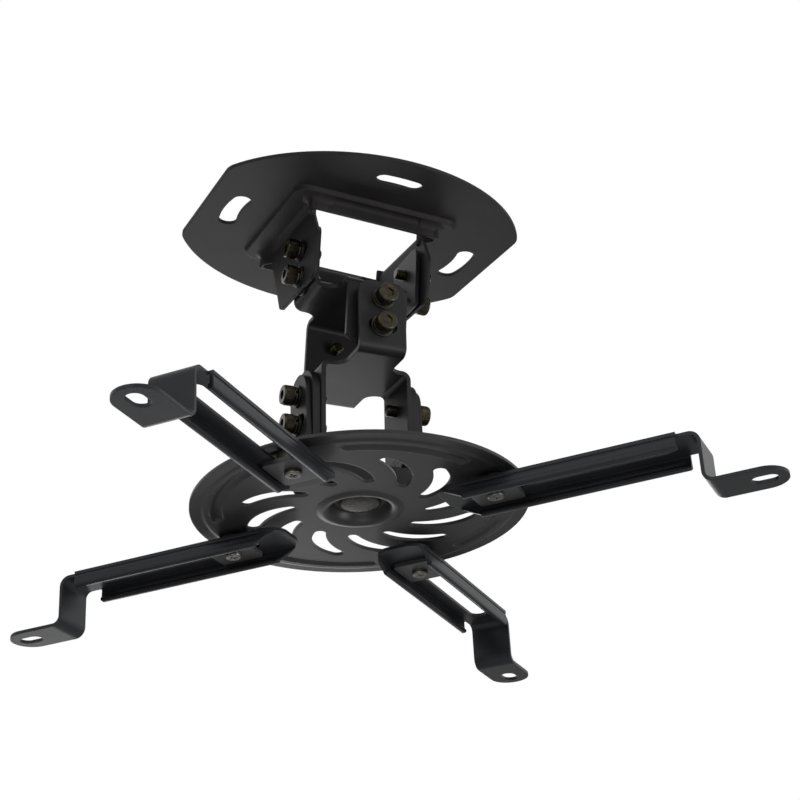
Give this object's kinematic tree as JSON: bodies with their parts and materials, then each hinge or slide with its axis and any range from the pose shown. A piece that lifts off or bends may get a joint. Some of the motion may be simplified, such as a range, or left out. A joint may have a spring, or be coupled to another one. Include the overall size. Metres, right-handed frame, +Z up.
{
  "type": "projector ceiling mount",
  "caption": "Ceiling mount with a slotted plate, a tilting cross-bracket column and a round plate that carries adjustable arms with slotted tabs.",
  "frame": {"origin": "middle of the ceiling plate's top face, where it meets the ceiling", "axes": "+Z up into the ceiling, X across the plate between its two ears, -Y to the front"},
  "size_m": [0.2741, 0.266, 0.1932],
  "materials": {
    "black_plate": "satin black powder coat",
    "black_bracket": "satin black powder coat",
    "black_arm": "satin black powder coat",
    "black_steel": "black oxide steel",
    "dark_screw": "dark zinc plated steel"
  },
  "bodies": {
    "ceiling": {"ceiling_plate": "black_plate"},
    "upper_bracket_body": {"upper_bracket": "black_bracket", "middle_bolt_back_pivot": "black_steel", "middle_bolt_back_slot": "black_steel", "middle_bolt_front_pivot": "black_steel", "middle_bolt_front_slot": "black_steel", "middle_spring_washers": "black_steel", "middle_washers": "black_steel", "spacer_disc_back": "black_steel", "spacer_disc_front": "black_steel", "spacer_disc_left": "black_steel", "spacer_disc_right": "black_steel", "upper_bolt_left_pivot": "black_steel", "upper_bolt_left_slot": "black_steel", "upper_bolt_right_pivot": "black_steel", "upper_bolt_right_slot": "black_steel", "upper_spring_washers": "black_steel", "upper_washers": "black_steel"},
    "lower_bracket_body": {"lower_bracket": "black_bracket", "friction_plate_left": "black_bracket", "friction_plate_right": "black_bracket", "lower_bolt_left_pivot": "black_steel", "lower_bolt_left_slot": "black_steel", "lower_bolt_right_pivot": "black_steel", "lower_bolt_right_slot": "black_steel", "lower_spring_washers": "black_steel", "lower_washers": "black_steel"},
    "yoke": {"swivel_yoke": "black_bracket", "centre_rivet": "black_steel", "swivel_washer": "black_steel"},
    "arm_plate_body": {"arm_plate": "black_plate"},
    "clamp_1": {"arm_spacer_1": "black_steel", "clamp_plate_1": "black_arm", "clamp_screw_1": "dark_screw", "clamp_nut_1": "black_steel"},
    "arm_1_body": {"arm_1": "black_arm"},
    "clamp_2": {"arm_spacer_2": "black_steel", "clamp_plate_2": "black_arm", "clamp_screw_2": "dark_screw", "clamp_nut_2": "black_steel"},
    "arm_2_body": {"arm_2": "black_arm"},
    "clamp_3": {"arm_spacer_3": "black_steel", "clamp_plate_3": "black_arm", "clamp_screw_3": "dark_screw", "clamp_nut_3": "black_steel"},
    "arm_3_body": {"arm_3": "black_arm"},
    "clamp_4": {"arm_spacer_4": "black_steel", "clamp_plate_4": "black_arm", "clamp_screw_4": "dark_screw", "clamp_nut_4": "black_steel"},
    "arm_4_body": {"arm_4": "black_arm"}
  },
  "joints": [
    {"name": "upper_tilt", "type": "hinge", "parent": "ceiling", "child": "upper_bracket_body", "pos_m": [0, -0.0175, -0.0357], "axis": [1, 0, 0], "range_deg": [-10.9, 19.1]},
    {"name": "middle_roll", "type": "hinge", "parent": "upper_bracket_body", "child": "lower_bracket_body", "pos_m": [0, -0.01891, -0.05535], "axis": [0, 0.9974, -0.0715], "range_deg": [-11.8, 18.2]},
    {"name": "lower_tilt", "type": "hinge", "parent": "lower_bracket_body", "child": "yoke", "pos_m": [0.00209, -0.02158, -0.0926], "axis": [0.9984, 0.004, 0.0557], "range_deg": [-10.9, 19.1]},
    {"name": "swivel", "type": "hinge", "parent": "yoke", "child": "arm_plate_body", "pos_m": [0.00486, -0.02868, -0.14181], "axis": [-0.0557, 0.1425, 0.9882], "continuous": true},
    {"name": "arm_1_swing", "type": "hinge", "parent": "arm_plate_body", "child": "clamp_1", "pos_m": [0.05066, 0.01253, -0.14517], "axis": [-0.0557, 0.1425, 0.9882], "range_deg": [-15, 15]},
    {"name": "arm_1_slide", "type": "slide", "parent": "clamp_1", "child": "arm_1_body", "axis": [0.7423, 0.6678, -0.0545], "range_m": [-0.0159, 0.0073]},
    {"name": "arm_2_swing", "type": "hinge", "parent": "arm_plate_body", "child": "clamp_2", "pos_m": [-0.03634, 0.0164, -0.15063], "axis": [-0.0557, 0.1425, 0.9882], "range_deg": [-15, 15]},
    {"name": "arm_2_slide", "type": "slide", "parent": "clamp_2", "child": "arm_2_body", "axis": [-0.6677, 0.7306, -0.143], "range_m": [-0.0132, 0.01]},
    {"name": "arm_3_swing", "type": "hinge", "parent": "arm_plate_body", "child": "clamp_3", "pos_m": [-0.04094, -0.06988, -0.13845], "axis": [-0.0557, 0.1425, 0.9882], "range_deg": [-15, 15]},
    {"name": "arm_3_slide", "type": "slide", "parent": "clamp_3", "child": "arm_3_body", "axis": [-0.7423, -0.6678, 0.0545], "range_m": [-0.0217, 0.0015]},
    {"name": "arm_4_swing", "type": "hinge", "parent": "arm_plate_body", "child": "clamp_4", "pos_m": [0.04606, -0.07375, -0.13299], "axis": [-0.0557, 0.1425, 0.9882], "range_deg": [-15, 15]},
    {"name": "arm_4_slide", "type": "slide", "parent": "clamp_4", "child": "arm_4_body", "axis": [0.6677, -0.7306, 0.143], "range_m": [-0.0189, 0.0043]}
  ]
}
